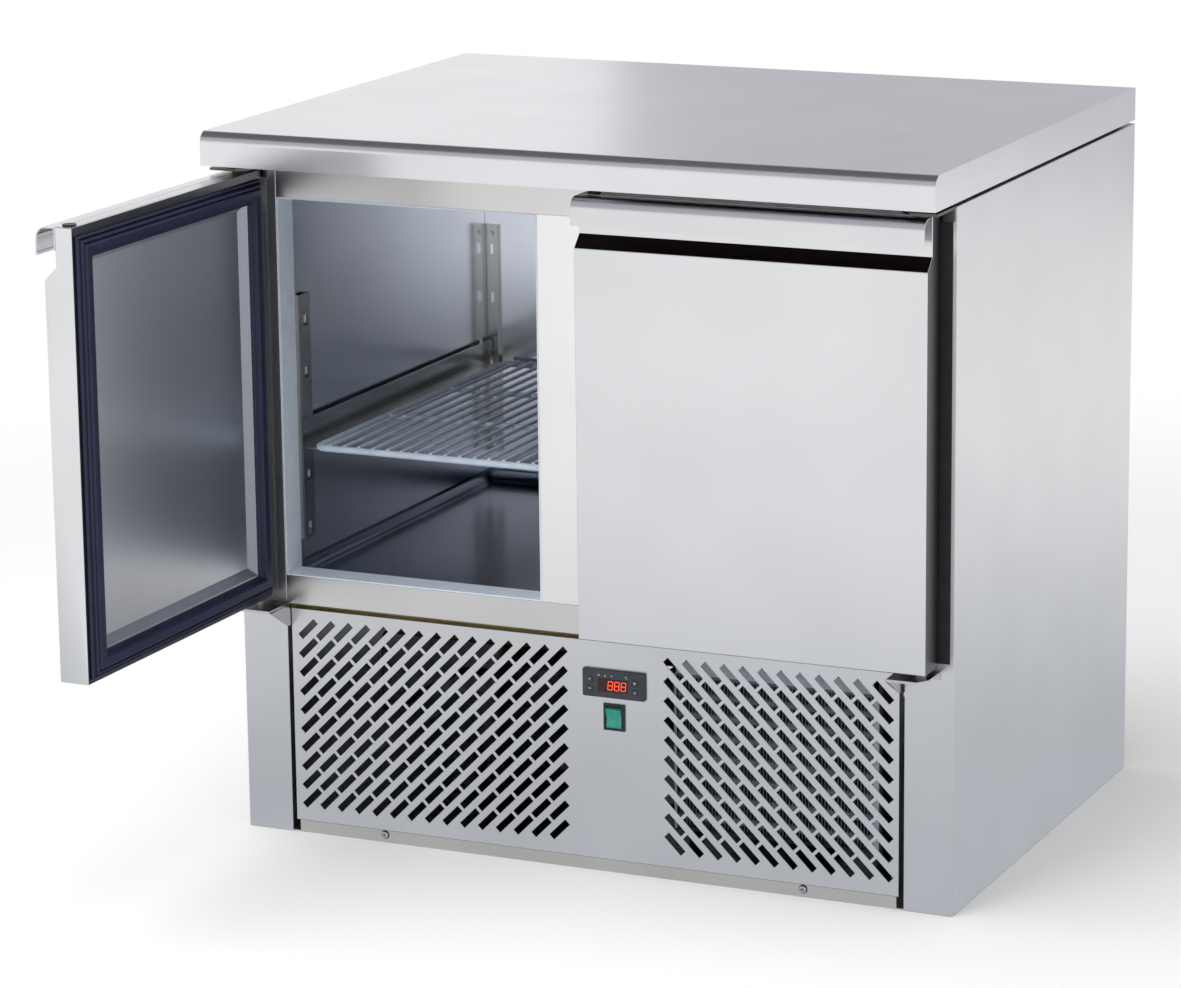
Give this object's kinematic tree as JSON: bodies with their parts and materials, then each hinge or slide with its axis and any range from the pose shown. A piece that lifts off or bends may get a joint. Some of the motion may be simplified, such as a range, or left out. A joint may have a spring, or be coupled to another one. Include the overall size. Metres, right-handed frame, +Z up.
{
  "type": "refrigerated prep table",
  "caption": "Low refrigerated counter with a solid stainless worktop, hinged doors with full-width grips, wire shelves and a slotted machine panel below the doors.",
  "frame": {"origin": "on the floor, at the centre of the worktop's footprint", "axes": "+X to the right, seen from the front; +Y to the back; +Z up"},
  "size_m": [0.9073, 1.0571, 0.856],
  "materials": {
    "stainless_satin": "satin-brushed stainless sheet",
    "stainless_liner": "smooth stainless sheet",
    "hinge_steel": "zinc-plated pressed steel",
    "screw_steel": "bright plated screw heads",
    "foam": "rigid foam, matt",
    "core_board": "plain board",
    "reveal_plastic": "grey extruded plastic",
    "gasket": "soft moulded profile",
    "black_plastic": "moulded, satin",
    "shelf_coating": "plastic-coated wire",
    "controller_plastic": "moulded, fine texture",
    "controller_window": "smoked window",
    "key_plastic": "moulded keys",
    "rocker_green": "translucent green",
    "black_enamel": "semi-gloss enamel",
    "mount_rubber": "moulded rubber",
    "condenser_paint": "galvanised sheet",
    "fin_aluminium": "thin plain fins",
    "motor_paint": "semi-gloss enamel",
    "copper": "drawn tube",
    "cover_white": "moulded cover"
  },
  "bodies": {
    "cabinet": {"back_panel": "stainless_satin", "base_tray": "stainless_satin", "bottom_hinges": "hinge_steel", "bottom_rail": "stainless_satin", "center_mullion": "stainless_satin", "center_uprights": "stainless_liner", "compressor": "black_enamel", "compressor_mounts": "mount_rubber", "condensate_tray": "black_plastic", "condenser_fins": "fin_aluminium", "condenser_frame": "condenser_paint", "controller_display": "controller_window", "controller_housing": "controller_plastic", "cord_gland": "black_plastic", "evaporator_coil": "fin_aluminium", "evaporator_cover": "cover_white", "fan_motor": "motor_paint", "filter_drier": "copper", "floor_pan": "stainless_liner", "front_grille": "stainless_satin", "insulation": "foam", "left_runners": "stainless_liner", "left_side_panel": "stainless_satin", "liner_back": "stainless_liner", "liner_ceiling": "stainless_liner", "liner_left": "stainless_liner", "liner_right": "stainless_liner", "opening_reveals": "reveal_plastic", "refrigerant_lines": "copper", "right_runners": "stainless_liner", "right_side_panel": "stainless_satin", "screws": "screw_steel", "switch_housing": "black_plastic", "top_deck": "stainless_liner", "top_hinges": "hinge_steel", "top_rail": "stainless_satin", "wall_uprights": "stainless_liner", "worktop": "stainless_satin", "worktop_core": "core_board"},
    "left_door": {"left_door_skin": "stainless_satin", "left_door_grip": "stainless_satin", "left_door_core": "foam", "left_door_panel": "stainless_liner", "left_door_gasket": "gasket", "left_door_bushes": "black_plastic"},
    "right_door": {"right_door_skin": "stainless_satin", "right_door_grip": "stainless_satin", "right_door_core": "foam", "right_door_panel": "stainless_liner", "right_door_gasket": "gasket", "right_door_bushes": "black_plastic"},
    "left_shelf": {"left_shelf": "shelf_coating"},
    "right_shelf": {"right_shelf": "shelf_coating"},
    "condenser_fan": {"fan_blade": "fin_aluminium"},
    "evaporator_fan": {"evaporator_fan": "black_plastic"},
    "rocker": {"power_rocker": "rocker_green"},
    "key_1": {"controller_key_1": "key_plastic"},
    "key_2": {"controller_key_2": "key_plastic"},
    "key_3": {"controller_key_3": "key_plastic"},
    "key_4": {"controller_key_4": "key_plastic"}
  },
  "joints": [
    {"name": "left_door_hinge", "type": "hinge", "parent": "cabinet", "child": "left_door", "pos_m": [-0.418, -0.3, 0.55], "axis": [0, 0, 1], "range_deg": [-4.5, 90.5]},
    {"name": "right_door_hinge", "type": "hinge", "parent": "cabinet", "child": "right_door", "pos_m": [0.418, -0.3, 0.55], "axis": [0, 0, 1], "range_deg": [0, 95]},
    {"name": "left_shelf_slide", "type": "slide", "parent": "cabinet", "child": "left_shelf", "axis": [0, 1, 0], "range_m": [-0.5, 0]},
    {"name": "right_shelf_slide", "type": "slide", "parent": "cabinet", "child": "right_shelf", "axis": [0, 1, 0], "range_m": [-0.03, 0]},
    {"name": "condenser_fan_spin", "type": "hinge", "parent": "cabinet", "child": "condenser_fan", "pos_m": [0.226, -0.174, 0.159], "axis": [0, 1, 0], "continuous": true},
    {"name": "evaporator_fan_spin", "type": "hinge", "parent": "cabinet", "child": "evaporator_fan", "pos_m": [0, 0.26, 0.655], "axis": [0, 1, 0], "continuous": true},
    {"name": "rocker_tilt", "type": "hinge", "parent": "cabinet", "child": "rocker", "pos_m": [0.0346, -0.2728, 0.1892], "axis": [1, 0, 0], "range_deg": [-14, 0]},
    {"name": "key_1_press", "type": "slide", "parent": "cabinet", "child": "key_1", "axis": [0, 1, 0], "range_m": [0, 0.0008], "stiffness_N_per_m": 250},
    {"name": "key_2_press", "type": "slide", "parent": "cabinet", "child": "key_2", "axis": [0, 1, 0], "range_m": [0, 0.0008], "stiffness_N_per_m": 250},
    {"name": "key_3_press", "type": "slide", "parent": "cabinet", "child": "key_3", "axis": [0, 1, 0], "range_m": [0, 0.0008], "stiffness_N_per_m": 250},
    {"name": "key_4_press", "type": "slide", "parent": "cabinet", "child": "key_4", "axis": [0, 1, 0], "range_m": [0, 0.0008], "stiffness_N_per_m": 250}
  ]
}
